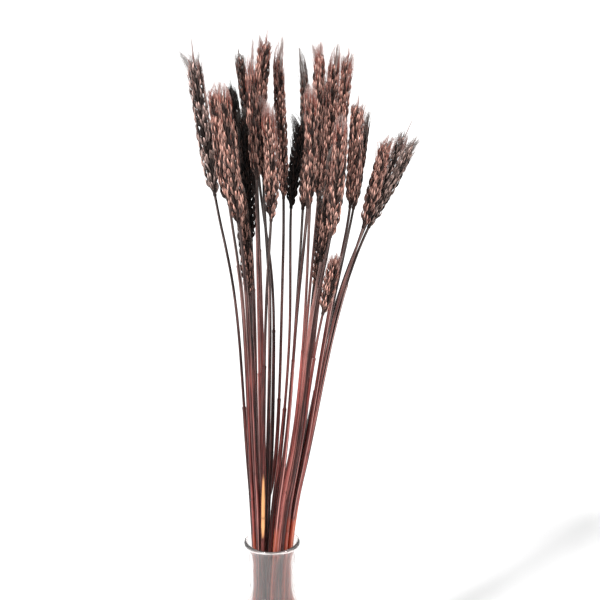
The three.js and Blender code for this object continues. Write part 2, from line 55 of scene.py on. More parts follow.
# number, tone, ear's foot z, ear's top z, ear's half width, longest awns, then x, y of the axis at each level
STALKS = [
    ("01", "grey", 511.8, 616.6, 6.44, 30, [-19.4, 10.3, -18.8, 8.8, -18.2, 7.3, -17.5, 5.8, -16.5, 4.4, -15.3, 3.1, -15.6, 2.5, -16.6, 2.1, -17.6, 1.8, -18.7, 1.7, -20.4, 1.6, -22, 1.5, -23.4, 1.4, -24.8, 1.3, -26.4, 1.3, -28.6, 1.1, -31.9, 0.9, -36.3, 0.6, -41.3, 0.1, -45.6, -0.7, -49.3, -1.8, -52.6, -3.3, -55.9, -5, -59.1, -6.9, -62.6, -8.9]),
    ("02", "light", 507.6, 593.5, 6.63, 13, [-23.2, -1.9, -21.7, -2.9, -20.2, -3.8, -18.6, -4.7, -16.6, -5.5, -14.4, -6, -14.3, -6.6, -15.2, -7.5, -15.8, -8.2, -16.6, -8.8, -17.5, -9.4, -18.4, -10.1, -19.1, -10.9, -19.8, -11.7, -20.7, -12.6, -21.9, -13.6, -23.8, -14.8, -26.7, -16, -30, -17.6, -33.1, -19.4, -35.9, -21.7, -38.5, -24.2, -41.1, -26.9, -43.8, -29.6]),
    ("03", "light", 492.1, 593.6, 6.63, 12, [-21, -11.2, -19.3, -11.3, -17.5, -11.3, -15.7, -11.2, -13.8, -10.8, -11.8, -10.2, -11.3, -11, -11.6, -12.6, -11.9, -13.9, -12.5, -15.2, -13.5, -16.6, -14.5, -18.2, -15.3, -19.8, -16, -21.6, -16.8, -23.6, -17.7, -25.8, -19, -28.2, -20.7, -30.5, -23, -33.1, -25.8, -35.8, -28.6, -38.6, -30.9, -41.5, -32.9, -44.4, -35, -47.4]),
    ("04", "dark", 430.7, 516.2, 5.07, 8, [-16.5, -0.1, -15.7, -0.7, -14.9, -1.3, -14.1, -1.8, -13.3, -2.1, -12.7, -2.3, -12.3, -3.1, -12.1, -4, -12.1, -4.9, -12.2, -5.6, -12.7, -6.4, -13.3, -7.3, -13.9, -8.2, -14.5, -9.1, -15.3, -10.1, -16.2, -11, -17.6, -11.8, -19.4, -12.6, -21.4, -13.2, -23.4, -13.9, -25.4, -14.6]),
    ("05", "black", 504.3, 594.0, 5.07, 10, [-13.2, 16.9, -13.3, 15.3, -13.4, 13.7, -13.4, 12, -13.2, 10.4, -12.8, 8.9, -13.3, 8.4, -14.2, 8.5, -15.1, 8.6, -16, 8.9, -16.9, 9.4, -17.1, 10, -17.1, 10.7, -17, 11.5, -16.9, 12.4, -16.9, 13.4, -17.3, 14.5, -18.2, 15.6, -19.6, 17, -21.8, 18.6, -24.9, 20.5, -28.3, 22.5, -31.8, 24.7, -35.2, 27]),
    ("06", "black", 472.8, 573.2, 5.07, 9, [-10.7, 8, -10.6, 7.1, -10.5, 6.2, -10.4, 5.4, -10.3, 4.6, -10.3, 4, -10.4, 3.5, -10.5, 3.2, -10.8, 3, -11.3, 2.9, -12.2, 2.9, -12.7, 3, -13, 3.1, -13.2, 3.3, -13.4, 3.5, -13.8, 3.7, -14.3, 4, -15.2, 4.3, -16.5, 4.7, -18.1, 5.1, -19.6, 5.5, -20.9, 6, -22.3, 6.5]),
    ("07", "dark", 508.2, 618.5, 4.29, 9, [-6, 22.4, -6, 20.9, -6, 19.4, -6, 17.8, -6, 16.1, -6, 14.4, -6.6, 14.3, -7.7, 15.1, -8.4, 15.8, -9.1, 16.8, -9.6, 17.9, -9.9, 19.2, -10.3, 20.7, -10.6, 22.3, -10.9, 24, -11.2, 25.8, -11.5, 27.8, -11.8, 29.7, -12.3, 31.8, -13.3, 34, -15.7, 36.4, -18.8, 39, -22.3, 41.9, -26.1, 45, -30.2, 48.3]),
    ("08", "light", 527.4, 608.2, 5.85, 20, [-11.1, -0.2, -10.5, -0.8, -10, -1.4, -9.5, -2, -8.9, -2.5, -8.5, -3, -8.1, -3.3, -7.8, -3.6, -7.3, -3.8, -6.9, -4, -6.5, -4.3, -6.4, -4.7, -6.5, -5, -6.7, -5.5, -7, -6, -7.4, -6.6, -7.8, -7.4, -8.3, -8.2, -8.8, -9.3, -9.5, -10.7, -10.4, -12.6, -11.5, -14.9, -12.6, -17.5, -13.8, -20.3]),
    ("09", "mid", 547.9, 629.4, 5.85, 14, [-4.1, 7, -4.2, 7, -4.4, 7, -4.4, 7, -4.5, 6.9, -4.4, 6.6, -4.4, 6.5, -4.2, 6.8, -3.5, 7, -2.2, 7.4, -0.5, 7.8, 0.7, 8.2, 1.5, 8.7, 2.1, 9.3, 2.5, 9.9, 2.4, 10.6, 1.1, 11.3, -1.7, 12, -5.3, 12.7, -8.4, 13.6, -10, 14.5, -9.4, 15.5, -7.3, 16.6, -4.2, 17.8, -0.4, 19.1]),
    ("10", "mid", 504.9, 616.8, 5.07, 20, [-6, 14.2, -6, 13.5, -6, 12.7, -6, 11.9, -6, 11.1, -6, 10.3, -6, 10.3, -6, 10.7, -6, 11.1, -0.6, 11.7, 3.1, 12.4, 5.3, 13.3, 6.7, 14.3, 7.8, 15.4, 8.6, 16.6, 9.4, 18, 10.2, 19.4, 10.9, 20.8, 11.2, 22.4, 11, 24.2, 10, 26.2, 8.9, 28.2, 7.8, 30.4, 6.7, 32.6, 5.6, 35]),
    ("11", "light", 496.9, 578.3, 5.46, 13, [-16.5, -13, -14.9, -13.1, -13.4, -13.1, -11.8, -13.1, -10.3, -13.1, -8.8, -12.9, -8.1, -13.5, -7.7, -14.2, -7.3, -14.8, -6.9, -15.6, -6.5, -16.5, -6.1, -17.6, -5.6, -18.8, -5, -20.3, -4.2, -21.9, -3.2, -23.8, -1.9, -25.9, -0.1, -28.2, 1.7, -30.9, 2.9, -34.1, 3, -37.9, 1.4, -41.9, -1.1, -46.2]),
    ("12", "light", 524.0, 580.8, 3.90, 12, [-7.4, 2.1, -7.1, 1.7, -6.8, 1.3, -6.6, 0.9, -6.3, 0.6, -6.1, 0.3, -5.8, -0, -5.5, -0.2, -5.1, -0.5, -4.4, -0.7, -3.5, -0.9, -2.6, -1, -1.8, -1.2, -1.1, -1.4, -0.6, -1.6, -0.5, -1.9, -0.9, -2.2, -2.2, -2.6, -3.6, -3.1, -4.4, -3.9, -4, -4.9, -4.6, -6.2, -6.4, -7.7]),
    ("13", "black", 504.8, 569.9, 3.90, 17, [-6.6, -7.3, -5.9, -7.3, -5.2, -7.3, -4.4, -7.3, -3.7, -7.4, -3, -7.4, -2.2, -7.5, -1.1, -7.6, 0.4, -7.8, 2.7, -8.1, 6.2, -8.5, 9.2, -9, 11.8, -9.6, 14, -10.3, 15.7, -11.2, 16.7, -12.1, 17, -13.3, 17.1, -14.6, 17.4, -16.2, 18.6, -18.2, 21.7, -20.7, 25.9, -23.6, 30.4, -26.8]),
    ("14", "dark", 498.6, 606.1, 3.90, 24, [1.2, 6.2, 0.9, 6, 0.6, 5.8, 0.3, 5.6, 0.2, 5.4, 0.2, 5.3, 0.5, 5.3, 1.3, 5.3, 2.9, 5.3, 5.8, 5.5, 10.3, 5.8, 13.8, 6.1, 16.4, 6.5, 18.4, 7, 20.2, 7.5, 22, 8.1, 23.8, 8.7, 25.5, 9.2, 27, 9.7, 28.3, 10.3, 29.3, 10.8, 29.4, 11.3, 28.7, 11.8, 27.7, 12.3]),
    ("15", "light", 523.3, 622.4, 5.46, 18, [1.8, -6.4, 2, -6.1, 2.3, -5.7, 2.7, -5.4, 3.1, -5, 3.6, -4.8, 4.3, -4.6, 5.4, -4.5, 7.4, -4.5, 10.6, -4.6, 15.6, -4.8, 19.7, -5, 22.8, -5.3, 25.4, -5.6, 27.5, -6, 29.2, -6.5, 30.6, -7, 31.6, -7.6, 32.6, -8.3, 33.9, -9.1, 35.7, -10.2, 37.7, -11.4, 39.3, -12.8, 40.5, -14.2, 41.9, -15.8]),
    ("16", "light", 508.6, 592.3, 5.46, 13, [-6.3, -22, -4.9, -20.9, -3.5, -19.8, -2, -18.5, -0.6, -17.1, 0.5, -15.6, 1.7, -15.7, 3.1, -16.7, 4.8, -17.6, 7.1, -18.5, 10.2, -19.6, 13.2, -20.9, 15.7, -22.3, 17.8, -23.9, 19.9, -25.6, 22, -27.6, 24.5, -29.7, 27.1, -31.9, 29.6, -34.4, 31.8, -37.2, 33.4, -40.3, 33.4, -43.7, 32.4, -47.3, 31.3, -50.9]),
    ("17", "mid", 508.3, 613.6, 5.07, 21, [10.2, 3.4, 9.6, 3.8, 9, 4.1, 8.5, 4.5, 8.1, 4.8, 8, 5.1, 8.3, 5.4, 9.3, 5.6, 11.4, 5.9, 15.2, 6.3, 21.1, 6.7, 25.3, 7.2, 28.1, 7.7, 30.4, 8.3, 32.4, 9, 34.8, 9.7, 37.7, 10.5, 40.8, 11.3, 43.8, 12.3, 46.3, 13.3, 48.2, 14.5, 50, 15.8, 51.5, 17.2, 53, 18.6, 54.6, 20.1]),
    ("18", "mid", 514.8, 616.9, 5.07, 17, [13.1, -10.8, 12.9, -9.5, 12.8, -8.1, 12.6, -6.8, 12.3, -5.3, 12, -4.2, 12.4, -3.6, 13.8, -3.4, 15.8, -3.5, 18.9, -3.6, 23.6, -3.8, 27.7, -4, 30.8, -4.2, 33.5, -4.5, 36.1, -4.8, 39, -5.1, 42.7, -5.5, 46.9, -5.9, 50.9, -6.4, 54, -7, 56, -7.7, 57.9, -8.5, 60, -9.4, 62.3, -10.3, 64.7, -11.4]),
    ("19", "light", 483.1, 568.7, 5.85, 12, [2.2, -20.3, 3.1, -19.4, 3.9, -18.3, 4.8, -17, 5.5, -15.7, 6.1, -14.3, 7.1, -14, 8.9, -14.8, 11.2, -15.5, 14.4, -16.4, 19.2, -17.5, 23.7, -18.6, 27.2, -19.8, 30.4, -20.8, 33.4, -22.1, 36.9, -23.5, 41.3, -25.4, 46.3, -27.8, 50.5, -30.2, 53.5, -32.9, 55.4, -35.7, 56.6, -38.7, 57.8, -41.8]),
    ("20", "dark", 460.0, 543.9, 5.07, 10, [2.2, -11.1, 2.7, -10.6, 3.2, -10, 3.8, -9.4, 4.4, -9, 5, -8.6, 5.8, -8.4, 7.1, -8.2, 9.2, -8.2, 12.5, -8.4, 17.7, -8.8, 22.2, -9.3, 25.6, -9.9, 28.3, -10.6, 31.1, -11.4, 34.4, -12.2, 38.9, -13.1, 43.4, -13.8, 46.8, -14.6, 49.3, -15.2, 51.2, -15.9, 53.1, -16.6]),
    ("21", "mid", 503.7, 582.9, 5.85, 12, [16.6, -14.3, 16.3, -12.8, 16, -11.3, 15.5, -10, 14.6, -8.9, 13.4, -8, 13.9, -7.4, 16.1, -6.8, 18.6, -6.3, 21.9, -6, 26.9, -5.9, 31.8, -5.9, 36.2, -6, 40.3, -6.2, 44.6, -6.5, 49.1, -6.9, 54.3, -7.4, 59.6, -8, 64.2, -8.7, 67, -9.6, 68.7, -10.6, 69.7, -11.8, 70.4, -13]),
    ("22", "dark", 497.9, 565.1, 4.68, 15, [20.1, 1.2, 19.1, 2.2, 17.9, 3.2, 16.8, 4.2, 15.6, 5.3, 14.4, 6, 14.3, 6.7, 15.5, 7.5, 17.5, 7.8, 20.7, 8.2, 26.1, 8.6, 31.6, 9.1, 36.9, 9.7, 42, 10.4, 47.3, 11.2, 52.7, 12.2, 58.3, 13.2, 63.6, 14.3, 68.7, 15.7, 73, 17.4, 76.7, 19.4, 79.8, 21.6, 82.7, 24]),
    ("23", "mid", 486.3, 552.4, 5.46, 15, [20, -11.9, 19.4, -10.1, 18.8, -8.3, 18, -6.4, 16.9, -4.2, 15.5, -2, 15.7, -1.3, 17.4, -1.6, 20.2, -2, 23.7, -2.3, 28.7, -2.5, 33.9, -2.8, 38.7, -3.2, 43.5, -3.5, 48.8, -3.8, 54.8, -4.2, 62.4, -4.7, 70.7, -5.3, 78.6, -6, 85.3, -7.1, 91.2, -8.5, 96.7, -10]),
    ("24", "greydark", 482.4, 549.5, 4.68, 13, [25.3, -0.9, 23.8, -0, 22.2, 0.8, 20.4, 1.5, 18.2, 1.9, 15.5, 2, 15.5, 2.8, 17.1, 3.7, 20.5, 5, 24.7, 6.2, 30.4, 7.3, 36, 8.4, 41.3, 9.3, 46.6, 10.2, 52.3, 11.1, 58.9, 11.9, 66.7, 12.6, 75.8, 13.1, 87.3, 13.4, 101.3, 13.5, 113.6, 13.4, 125.2, 13.2]),
    ("25", "grey", 499.3, 552.8, 3.90, 22, [21.6, 13.1, 19.7, 13, 17.8, 12.7, 15.9, 12.3, 13.7, 11.6, 11.6, 10.5, 11.3, 11, 12.5, 12.3, 15.3, 14.3, 19.5, 16.1, 25.8, 17.9, 31.9, 19.8, 37.4, 21.7, 43, 23.7, 49.1, 25.8, 56.4, 27.9, 65.5, 30.1, 75.7, 32.3, 86.7, 34.7, 97.6, 37.3, 108.8, 40.1, 120.2, 43.1]),
    ("26", "mid", 417.8, 463.1, 5.07, 7, [6.4, -21.2, 7.2, -19.3, 8, -17.5, 8.7, -15.7, 9.3, -13.9, 9.6, -12.3, 10.5, -11.7, 12.1, -12.2, 14.1, -12.7, 16.9, -13.3, 21.2, -14.3, 25.8, -15.6, 29.8, -17.3, 33.5, -19.5, 37.6, -21.7, 42.6, -24, 48.7, -26, 53.6, -27.6, 58.4, -29.3]),
    ("27", "dark", 428.3, 506.4, 4.68, 9, [12.1, -2.7, 11.7, -2, 11.3, -1.3, 11, -0.6, 10.8, 0, 10.8, 0.5, 11.1, 0.9, 11.9, 1.3, 13.7, 1.6, 16.9, 1.8, 22, 2, 26.3, 2.2, 29.6, 2.4, 32.3, 2.6, 34.8, 2.8, 37.1, 3, 39.4, 3.3, 41.3, 3.6, 43, 3.9, 44.6, 4.2]),
    ("28", "mid", 501.0, 597.1, 5.46, 16, [12.4, 19.5, 10.9, 18.8, 9.4, 17.9, 8, 17, 6.8, 15.8, 6, 14.4, 6, 14.6, 6.2, 16.1, 7.8, 17.3, 11, 18.6, 16.2, 20, 20.6, 21.5, 24.1, 23.1, 27.1, 24.8, 29.9, 26.6, 32.5, 28.6, 35, 30.6, 37.3, 32.7, 39.6, 34.9, 42, 37.5, 44.4, 40.3, 46.2, 43.2, 47.6, 46.3, 48.9, 49.5]),
]


class Axis:
    """A smooth curve through a stalk's points, given by height."""

    def __init__(self, flat):
        p = np.array(flat, float).reshape(-1, 2)
        self.z = LEVELS[: len(p)]
        self.p = p
        m = np.zeros_like(p)
        d = np.diff(p, axis=0) / np.diff(self.z)[:, None]
        h = np.diff(self.z)
        m[1:-1] = (d[:-1] * h[1:, None] + d[1:] * h[:-1, None]) / (h[1:] + h[:-1])[:, None]
        m[0], m[-1] = d[0], d[-1]
        self.m = m

    def __call__(self, z):
        z = np.atleast_1d(np.asarray(z, float))
        k = np.clip(np.searchsorted(self.z, z) - 1, 0, len(self.z) - 2)
        h = self.z[k + 1] - self.z[k]
        t = ((z - self.z[k]) / h)[:, None]
        h = h[:, None]
        tc = np.clip(t, 0, 1)
        a = (2 * tc**3 - 3 * tc**2 + 1) * self.p[k] + (tc**3 - 2 * tc**2 + tc) * h * self.m[k]
        b = (-2 * tc**3 + 3 * tc**2) * self.p[k + 1] + (tc**3 - tc**2) * h * self.m[k + 1]
        xy = a + b + np.where(t > 1, (t - 1) * h * self.m[k + 1], 0) + np.where(t < 0, t * h * self.m[k], 0)
        return np.column_stack([xy, z])

    def tangent(self, z):
        z = np.atleast_1d(np.asarray(z, float))
        v = self(z + 1.5) - self(z - 1.5)
        return v / np.linalg.norm(v, axis=1)[:, None]


def unit(v):
    return v / np.linalg.norm(v, axis=-1, keepdims=True)


class Soup:
    """Collects closed bodies of one piece, with the numbers its material reads."""

    def __init__(self):
        self.v, self.f4, self.f3 = [], [], []
        self.n = 0
        self.attr = {"rnd": [], "along": [], "part": [], "edge": []}
        self.fib = []

    def bodies(self, rings, foot, head, rnd, along, part, fib, edge=None):
        """rings (B, n, m, 3); foot and head (B, 3); rnd (B,), along (n,), fib (B, n, m, 3), edge (m,)"""
        B, n, m, _ = rings.shape
        per = n * m + 2
        v = np.concatenate([rings.reshape(B, n * m, 3), foot[:, None], head[:, None]], 1)
        k, j = np.meshgrid(np.arange(n - 1), np.arange(m), indexing="ij")
        a = k * m + j
        b = k * m + (j + 1) % m
        quad = np.stack([a, b, b + m, a + m], -1).reshape(-1, 4)
        jj = np.arange(m)
        low = np.stack([np.full(m, n * m), (jj + 1) % m, jj], -1)
        top = np.stack([np.full(m, n * m + 1), (n - 1) * m + jj, (n - 1) * m + (jj + 1) % m], -1)
        tri = np.concatenate([low, top])
        off = self.n + np.arange(B)[:, None, None] * per
        self.f4.append((quad[None] + off).reshape(-1, 4))
        self.f3.append((tri[None] + off).reshape(-1, 3))
        self.v.append(v.reshape(-1, 3))
        self.n += B * per
        al = np.concatenate([np.repeat(along, m), [along[0], along[-1]]])
        self.attr["along"].append(np.tile(al, B))
        self.attr["rnd"].append(np.repeat(rnd, per))
        self.attr["part"].append(np.full(B * per, float(part)))
        ed = np.zeros(m) if edge is None else edge
        self.attr["edge"].append(np.tile(np.concatenate([np.tile(ed, n), [0.5, 0.5]]), B))
        fb = np.concatenate([fib.reshape(B, n * m, 3), fib[:, 0].mean(1)[:, None], fib[:, -1].mean(1)[:, None]], 1)
        self.fib.append(fb.reshape(-1, 3))

    def make(self, name, material):
        v = np.concatenate(self.v) * 0.001
        f4 = np.concatenate(self.f4) if self.f4 else np.zeros((0, 4), int)
        f3 = np.concatenate(self.f3) if self.f3 else np.zeros((0, 3), int)
        me = bpy.data.meshes.new(name)
        me.vertices.add(len(v))
        me.vertices.foreach_set("co", v.astype(np.float32).ravel())
        loops = np.concatenate([f4.ravel(), f3.ravel()]).astype(np.int32)
        me.loops.add(len(loops))
        me.loops.foreach_set("vertex_index", loops)
        starts = np.concatenate([np.arange(len(f4)) * 4, len(f4) * 4 + np.arange(len(f3)) * 3]).astype(np.int32)
        me.polygons.add(len(starts))
        me.polygons.foreach_set("loop_start", starts)
        me.update(calc_edges=True)
        me.polygons.foreach_set("use_smooth", np.ones(len(starts), bool))
        for key, parts in self.attr.items():
            at = me.attributes.new(key, "FLOAT", "POINT")
            at.data.foreach_set("value", np.concatenate(parts).astype(np.float32))
        at = me.attributes.new("fib", "FLOAT_VECTOR", "POINT")
        at.data.foreach_set("vector", np.concatenate(self.fib).astype(np.float32).ravel())
        me.validate()
        ob = bpy.data.objects.new(name, me)
        me.materials.append(material)
        bpy.context.scene.collection.objects.link(ob)
        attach(ob, "root")
        return ob


# ---------------------------------------------------------------- materials
def srgb(r, g, b):
    return tuple(((c / 255 + 0.055) / 1.055) ** 2.4 if c > 10.3 else c / 255 / 12.92 for c in (r, g, b)) + (1.0,)


def new_material(name):
    m = bpy.data.materials.new(name)
    m.use_nodes = True
    nt = m.node_tree
    nt.nodes.clear()
    out = nt.nodes.new("ShaderNodeOutputMaterial")
    bsdf = nt.nodes.new("ShaderNodeBsdfPrincipled")
    nt.links.new(bsdf.outputs[0], out.inputs[0])
    return m, nt, bsdf


def node(nt, kind, **inputs):
    n = nt.nodes.new(kind)
    for k, v in inputs.items():
        n.inputs[int(k[1:]) if k[0] == "i" and k[1:].isdigit() else k].default_value = v
    return n


def attribute(nt, name):
    n = nt.nodes.new("ShaderNodeAttribute")
    n.attribute_name = name
    return n


def ramp(nt, stops, source):
    r = nt.nodes.new("ShaderNodeValToRGB")
    e = r.color_ramp.elements
    while len(e) < len(stops):
        e.new(0.5)
    for k, (p, c) in enumerate(stops):
        e[k].position = p
        e[k].color = c
    nt.links.new(source, r.inputs[0])
    return r.outputs[0]


def mix(nt, fac, a, b, mode="MIX"):
    n = nt.nodes.new("ShaderNodeMix")
    n.data_type = "RGBA"
    n.blend_type = mode
    for sock, val in ((n.inputs[0], fac), (n.inputs[6], a), (n.inputs[7], b)):
        if isinstance(val, bpy.types.NodeSocket):
            nt.links.new(val, sock)
        else:
            sock.default_value = val
    return n.outputs[2]


def math_node(nt, op, a, b=None, clamp=False):
    n = nt.nodes.new("ShaderNodeMath")
    n.operation = op
    n.use_clamp = clamp
    for k, val in enumerate((a, b)):
        if val is None:
            continue
        if isinstance(val, bpy.types.NodeSocket):
            nt.links.new(val, n.inputs[k])
        else:
            n.inputs[k].default_value = val
    return n.outputs[0]


def remap(nt, v, a, b, c, d):
    n = nt.nodes.new("ShaderNodeMapRange")
    nt.links.new(v, n.inputs[0])
    for k, x in zip((1, 2, 3, 4), (a, b, c, d)):
        n.inputs[k].default_value = x
    return n.outputs[0]


def noise(nt, vector, scale, detail=3.0, rough=0.55):
    n = nt.nodes.new("ShaderNodeTexNoise")
    n.inputs["Scale"].default_value = scale
    n.inputs["Detail"].default_value = detail
    n.inputs["Roughness"].default_value = rough
    nt.links.new(vector, n.inputs["Vector"])
    return n.outputs[0]


def stretched(nt, vector, sx, sy, sz):
    n = nt.nodes.new("ShaderNodeMapping")
    n.inputs["Scale"].default_value = (sx, sy, sz)
    nt.links.new(vector, n.inputs["Vector"])
    return n.outputs[0]


HUSKS = {  # deep, middle, pale, awn
    "light": ((20, 4, 2), (156, 74, 55), (255, 200, 182), (204, 184, 178)),
    "mid": ((16, 3, 2), (144, 69, 51), (255, 196, 178), (200, 182, 176)),
    "dark": ((7, 2, 1), (58, 29, 22), (200, 150, 136), (166, 155, 150)),
    "black": ((2, 1, 1), (14, 8, 6), (66, 46, 40), (110, 104, 101)),
    "grey": ((16, 7, 5), (142, 93, 82), (255, 220, 209), (202, 198, 196)),
    "greydark": ((10, 5, 3), (92, 60, 52), (232, 198, 186), (180, 172, 168)),
}


def husk_material(tone):
    m, nt, bsdf = new_material("husk_" + tone)
    deep, mid, pale, awn = (srgb(*c) for c in HUSKS[tone])
    rnd = attribute(nt, "rnd").outputs["Fac"]
    along = attribute(nt, "along").outputs["Fac"]
    part = attribute(nt, "part").outputs["Fac"]
    fib = attribute(nt, "fib").outputs["Vector"]
    edge = attribute(nt, "edge").outputs["Fac"]
    obj = nt.nodes.new("ShaderNodeTexCoord").outputs["Object"]
    # each husk its own shade
    base = ramp(nt, [(0.0, deep), (0.1, deep), (0.34, mid), (0.62, mid), (1.0, pale)], rnd)
    lit = remap(nt, rnd, 0.02, 0.32, 0.06, 1.0)
    # darker towards each husk's foot: painted shade where the husks overlap; and a paler dry tip on some
    foot = remap(nt, along, 0.42, 0.74, 0.97, 0.0)
    col = mix(nt, foot, base, deep)
    tipf = math_node(nt, "MULTIPLY", remap(nt, along, 0.58, 0.84, 0.0, 1.0), remap(nt, rnd, 0.03, 0.6, 0.03, 1.0))
    col = mix(nt, tipf, col, pale)
    # painted highlight along each husk's keel, and painted shade along its edges, where it meets the next husk
    keel_highlight = math_node(nt, "MULTIPLY", remap(nt, edge, 0.0, 0.45, 0.55, 0.0), remap(nt, along, 0.5, 0.75, 0.0, 1.0))
    col = mix(nt, math_node(nt, "MULTIPLY", keel_highlight, lit), col, pale)
    # painted shade: the husk's edges darken towards the deep colour
    ef = remap(nt, edge, 0.45, 0.85, 0.0, 0.95)
    col = mix(nt, ef, col, deep)
    # fine length-wise veins
    veins = noise(nt, stretched(nt, fib, 1.0, 1.0, 0.09), 2.6, 4.0, 0.6)
    vf = remap(nt, veins, 0.38, 0.7, 0.0, 0.55)
    col = mix(nt, math_node(nt, "MULTIPLY", vf, lit), col, pale)
    dv = remap(nt, veins, 0.28, 0.46, 0.6, 0.0)
    col = mix(nt, dv, col, deep)
    # the dye took unevenly over the ear
    cloud = noise(nt, obj, 70.0, 3.0, 0.6)
    cf = remap(nt, cloud, 0.46, 0.66, 0.0, 0.5)
    col = mix(nt, cf, col, deep)
    # awns, a little darker where they leave the husk
    is_awn = math_node(nt, "GREATER_THAN", part, 2.5)
    awn_col = mix(nt, remap(nt, along, 0.3, 0.75, 0.85, 0.0), awn, mid)
    awn_col = mix(nt, remap(nt, rnd, 0.25, 0.75, 0.5, 0.0), awn_col, mid)
    tuft = math_node(nt, "GREATER_THAN", part, 3.5)
    tuft_col = mix(nt, remap(nt, along, 0.0, 0.35, 0.8, 0.0), mix(nt, rnd, mix(nt, 0.55, awn, deep), awn), mid)
    col = mix(nt, is_awn, col, mix(nt, tuft, awn_col, tuft_col))
    nt.links.new(col, bsdf.inputs["Base Color"])
    rough = remap(nt, veins, 0.3, 0.75, 0.78, 0.5)
    nt.links.new(rough, bsdf.inputs["Roughness"])
    bsdf.inputs["IOR"].default_value = 1.45
    bsdf.inputs["Specular IOR Level"].default_value = SPEC[tone]
    bump = nt.nodes.new("ShaderNodeBump")
    bump.inputs["Strength"].default_value = 0.6
    bump.inputs["Distance"].default_value = 0.00025
    nt.links.new(veins, bump.inputs["Height"])
    nt.links.new(bump.outputs[0], bsdf.inputs["Normal"])
    return m


SPEC = {"light": 0.35, "mid": 0.3, "dark": 0.2, "black": 0.14, "grey": 0.3, "greydark": 0.22}


def straw_material():
    m, nt, bsdf = new_material("straw")
    rnd = attribute(nt, "rnd").outputs["Fac"]
    along = attribute(nt, "along").outputs["Fac"]
    part = attribute(nt, "part").outputs["Fac"]
    edge = attribute(nt, "edge").outputs["Fac"]
    fib = attribute(nt, "fib").outputs["Vector"]
    obj = nt.nodes.new("ShaderNodeTexCoord").outputs["Object"]
    low = ramp(
        nt,
        [
            (0.0, srgb(8, 1, 1)),
            (0.26, srgb(30, 4, 2)),
            (0.46, srgb(74, 15, 11)),
            (0.66, srgb(108, 36, 31)),
            (0.84, srgb(154, 76, 70)),
            (1.0, srgb(198, 124, 116)),
        ],
        rnd,
    )
    up = ramp(nt, [(0.0, srgb(12, 7, 6)), (0.35, srgb(38, 25, 22)), (0.7, srgb(78, 56, 51)), (1.0, srgb(150, 126, 119))], rnd)
    # along is 0 on the lower straw and 1 on the bare straw under the ear
    col = mix(nt, along, low, up)
    # ribs and dye streaks that run a long way down the straw; the pale streaks are also painted highlights
    broad = noise(nt, stretched(nt, fib, 0.9, 0.9, 0.006), 1.0, 2.0, 0.5)
    bd = remap(nt, broad, 0.4, 0.52, 0.9, 0.0)
    col = mix(nt, bd, col, mix(nt, along, srgb(30, 4, 2), srgb(20, 13, 11)))
    streak = noise(nt, stretched(nt, fib, 1.0, 1.0, 0.022), 1.7, 4.0, 0.6)
    # pale streaks: dye streaks and painted highlight lines together
    sf = remap(nt, streak, 0.5, 0.72, 0.0, 0.5)
    col = mix(nt, sf, col, mix(nt, along, srgb(196, 112, 103), srgb(206, 182, 175)))
    df = remap(nt, streak, 0.32, 0.49, 0.9, 0.0)
    col = mix(nt, df, col, srgb(12, 2, 1))
    patch = noise(nt, obj, 28.0, 3.0, 0.6)
    pf = remap(nt, patch, 0.48, 0.7, 0.0, 0.5)
    col = mix(nt, pf, col, mix(nt, along, srgb(58, 8, 5), srgb(38, 25, 22)))
    # the sheath's thin, pale margin where it laps over, partly a painted highlight line down the straw
    mf = remap(nt, edge, 0.35, 0.85, 0.0, 0.8)
    col = mix(nt, mf, col, mix(nt, along, srgb(222, 156, 148), srgb(232, 212, 206)))
    # a golden strip down the front of one straw, and orange-red on a few others, just above the lip
    gold = attribute(nt, "gold").outputs["Fac"]
    col = mix(nt, gold, col, mix(nt, sf, srgb(222, 158, 104), srgb(244, 196, 146)))
    rust = attribute(nt, "rust").outputs["Fac"]
    bf = remap(nt, broad, 0.5, 0.62, 0.0, 0.8)
    col = mix(nt, rust, col, mix(nt, bf, mix(nt, df, srgb(158, 52, 20), srgb(86, 18, 8)), srgb(214, 122, 88)))
    # joints and sheath edges
    col = mix(nt, math_node(nt, "MULTIPLY", part, 0.42), col, srgb(32, 10, 8))
    nt.links.new(col, bsdf.inputs["Base Color"])
    rough = remap(nt, streak, 0.3, 0.7, 0.24, 0.42)
    nt.links.new(rough, bsdf.inputs["Roughness"])
    bsdf.inputs["Specular IOR Level"].default_value = 0.28
    bump = nt.nodes.new("ShaderNodeBump")
    bump.inputs["Strength"].default_value = 0.5
    bump.inputs["Distance"].default_value = 0.0002
    nt.links.new(streak, bump.inputs["Height"])
    nt.links.new(bump.outputs[0], bsdf.inputs["Normal"])
    return m


def glass_material():
    m, nt, bsdf = new_material("clear_glass")
    obj = nt.nodes.new("ShaderNodeTexCoord").outputs["Object"]
    wave = noise(nt, stretched(nt, obj, 1.0, 1.0, 0.25), 34.0, 2.0, 0.4)
    tint = mix(nt, remap(nt, wave, 0.3, 0.7, 0.0, 1.0), (0.925, 0.86, 0.845, 1.0), (0.975, 0.94, 0.925, 1.0))
    nt.links.new(tint, bsdf.inputs["Base Color"])
    bsdf.inputs["Transmission Weight"].default_value = 0.95
    bsdf.inputs["IOR"].default_value = 1.46
    smear = noise(nt, stretched(nt, obj, 1.0, 1.0, 0.3), 90.0, 3.0, 0.6)
    nt.links.new(remap(nt, smear, 0.3, 0.75, 0.02, 0.12), bsdf.inputs["Roughness"])
    bump = nt.nodes.new("ShaderNodeBump")
    bump.inputs["Strength"].default_value = 0.2
    bump.inputs["Distance"].default_value = 0.0006
    nt.links.new(wave, bump.inputs["Height"])
    nt.links.new(bump.outputs[0], bsdf.inputs["Normal"])
    return m


MATS = {t: husk_material(t) for t in HUSKS}
STRAW = straw_material()
GLASS = glass_material()

# ---------------------------------------------------------------- straws
def straw_radius(z):
    return np.interp(z, [10, 200, 300, 400, 520], [1.9, 1.94, 1.74, 1.38, 1.2])


